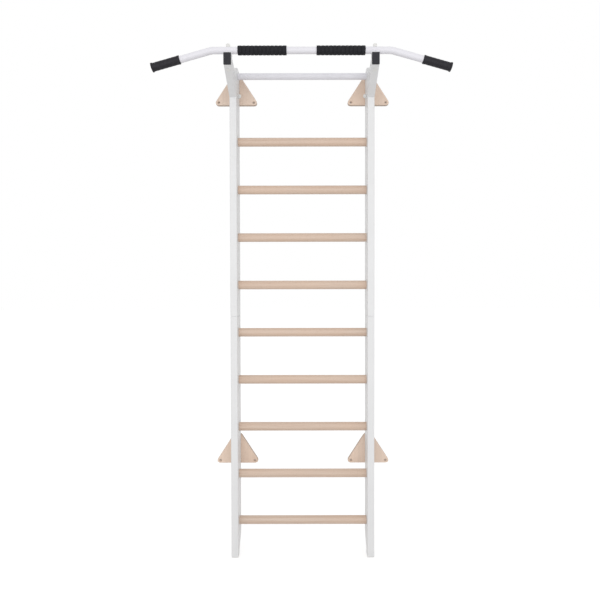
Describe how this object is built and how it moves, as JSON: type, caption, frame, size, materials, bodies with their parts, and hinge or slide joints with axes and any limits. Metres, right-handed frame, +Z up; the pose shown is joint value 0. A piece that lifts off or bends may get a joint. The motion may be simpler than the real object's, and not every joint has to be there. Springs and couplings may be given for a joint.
{
  "type": "swedish wall bars",
  "caption": "Tall white ladder of oval beech rungs for a gym wall, on triangular wall plates, with a bent pull-up bar with black grips on two rising arms.",
  "frame": {"origin": "on the floor, in the plane of the wall, midway between the uprights", "axes": "+Z up, +Y into the wall, +X to the right of someone who faces the bars"},
  "size_m": [1.318, 0.3169, 2.326],
  "materials": {
    "white_coat": "satin",
    "white_plastic": "matte",
    "beech": "clear satin lacquer",
    "plywood": "clear satin lacquer",
    "black_rubber": "matte",
    "black_plastic": "matte",
    "steel": "zinc plated"
  },
  "bodies": {
    "root": {"left_arm": "white_coat", "left_arm_bolt": "steel", "left_arm_end_cap": "black_plastic", "left_arm_nut": "white_plastic", "left_arm_plug": "white_plastic", "left_bar_bolt": "steel", "left_bar_nut": "white_plastic", "left_bar_saddle": "white_coat", "left_end_grip": "black_rubber", "left_foot_cap": "white_plastic", "left_inner_grip": "black_rubber", "left_joint_screw_lower": "steel", "left_joint_screw_upper": "steel", "left_joint_sleeve": "steel", "left_plate_bolt_lower_1": "steel", "left_plate_bolt_lower_2": "steel", "left_plate_bolt_upper_1": "steel", "left_plate_bolt_upper_2": "steel", "left_upright_lower": "white_coat", "left_upright_upper": "white_coat", "left_wall_plate_lower": "plywood", "left_wall_plate_upper": "plywood", "pull_up_bar": "white_coat", "right_arm": "white_coat", "right_arm_bolt": "steel", "right_arm_end_cap": "black_plastic", "right_arm_nut": "white_plastic", "right_arm_plug": "white_plastic", "right_bar_bolt": "steel", "right_bar_nut": "white_plastic", "right_bar_saddle": "white_coat", "right_end_grip": "black_rubber", "right_foot_cap": "white_plastic", "right_inner_grip": "black_rubber", "right_joint_screw_lower": "steel", "right_joint_screw_upper": "steel", "right_joint_sleeve": "steel", "right_plate_bolt_lower_1": "steel", "right_plate_bolt_lower_2": "steel", "right_plate_bolt_upper_1": "steel", "right_plate_bolt_upper_2": "steel", "right_upright_lower": "white_coat", "right_upright_upper": "white_coat", "right_wall_plate_lower": "plywood", "right_wall_plate_upper": "plywood", "rung_1": "beech", "rung_2": "beech", "rung_3": "beech", "rung_4": "beech", "rung_5": "beech", "rung_6": "beech", "rung_7": "beech", "rung_8": "beech", "rung_9": "beech", "top_rung": "white_coat"}
  },
  "joints": []
}
